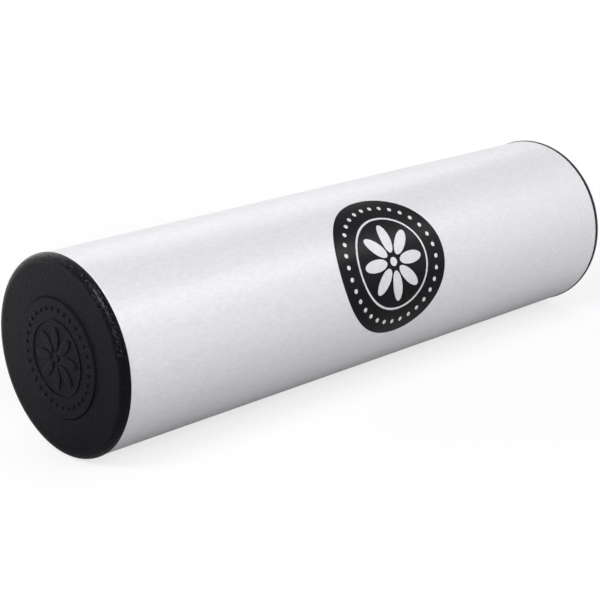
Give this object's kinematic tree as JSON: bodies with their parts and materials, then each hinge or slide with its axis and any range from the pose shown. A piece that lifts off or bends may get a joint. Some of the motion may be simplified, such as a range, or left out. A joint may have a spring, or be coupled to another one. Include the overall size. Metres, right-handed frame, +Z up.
{
  "type": "tube shaker",
  "caption": "Tube shaker lying on its side: a smooth round metal tube closed at each end by a moulded black cap, with loose steel shot inside that rolls and runs from end to end.",
  "frame": {"origin": "on the floor under the middle of the tube, which lies on its side", "axes": "+X along the tube towards the right cap, +Z up, and -Y towards the front, where the badge is"},
  "size_m": [0.2196, 0.0604, 0.0604],
  "materials": {
    "tube_silver": "satin silver lacquer with a fine grain",
    "cap_black": "moulded, finely grained",
    "shot_steel": "bright rolled steel balls"
  },
  "bodies": {
    "shell": {"tube": "tube_silver", "left_cap": "cap_black", "right_cap": "cap_black"},
    "shot_bed": {"shot_keel": "shot_steel"},
    "shot_front_rows": {"shot_front": "shot_steel"},
    "shot_back_rows": {"shot_back": "shot_steel"},
    "shot_top_rows": {"shot_top": "shot_steel"}
  },
  "joints": [
    {"name": "shot_roll", "type": "hinge", "parent": "shell", "child": "shot_bed", "pos_m": [0, 0, 0.0302], "axis": [1, 0, 0], "continuous": true},
    {"name": "front_run", "type": "slide", "parent": "shot_bed", "child": "shot_front_rows", "axis": [1, 0, 0], "range_m": [-0.0415, 0.0415]},
    {"name": "back_run", "type": "slide", "parent": "shot_bed", "child": "shot_back_rows", "axis": [1, 0, 0], "range_m": [-0.0415, 0.0415]},
    {"name": "top_run", "type": "slide", "parent": "shot_bed", "child": "shot_top_rows", "axis": [1, 0, 0], "range_m": [-0.056, 0.056]}
  ]
}
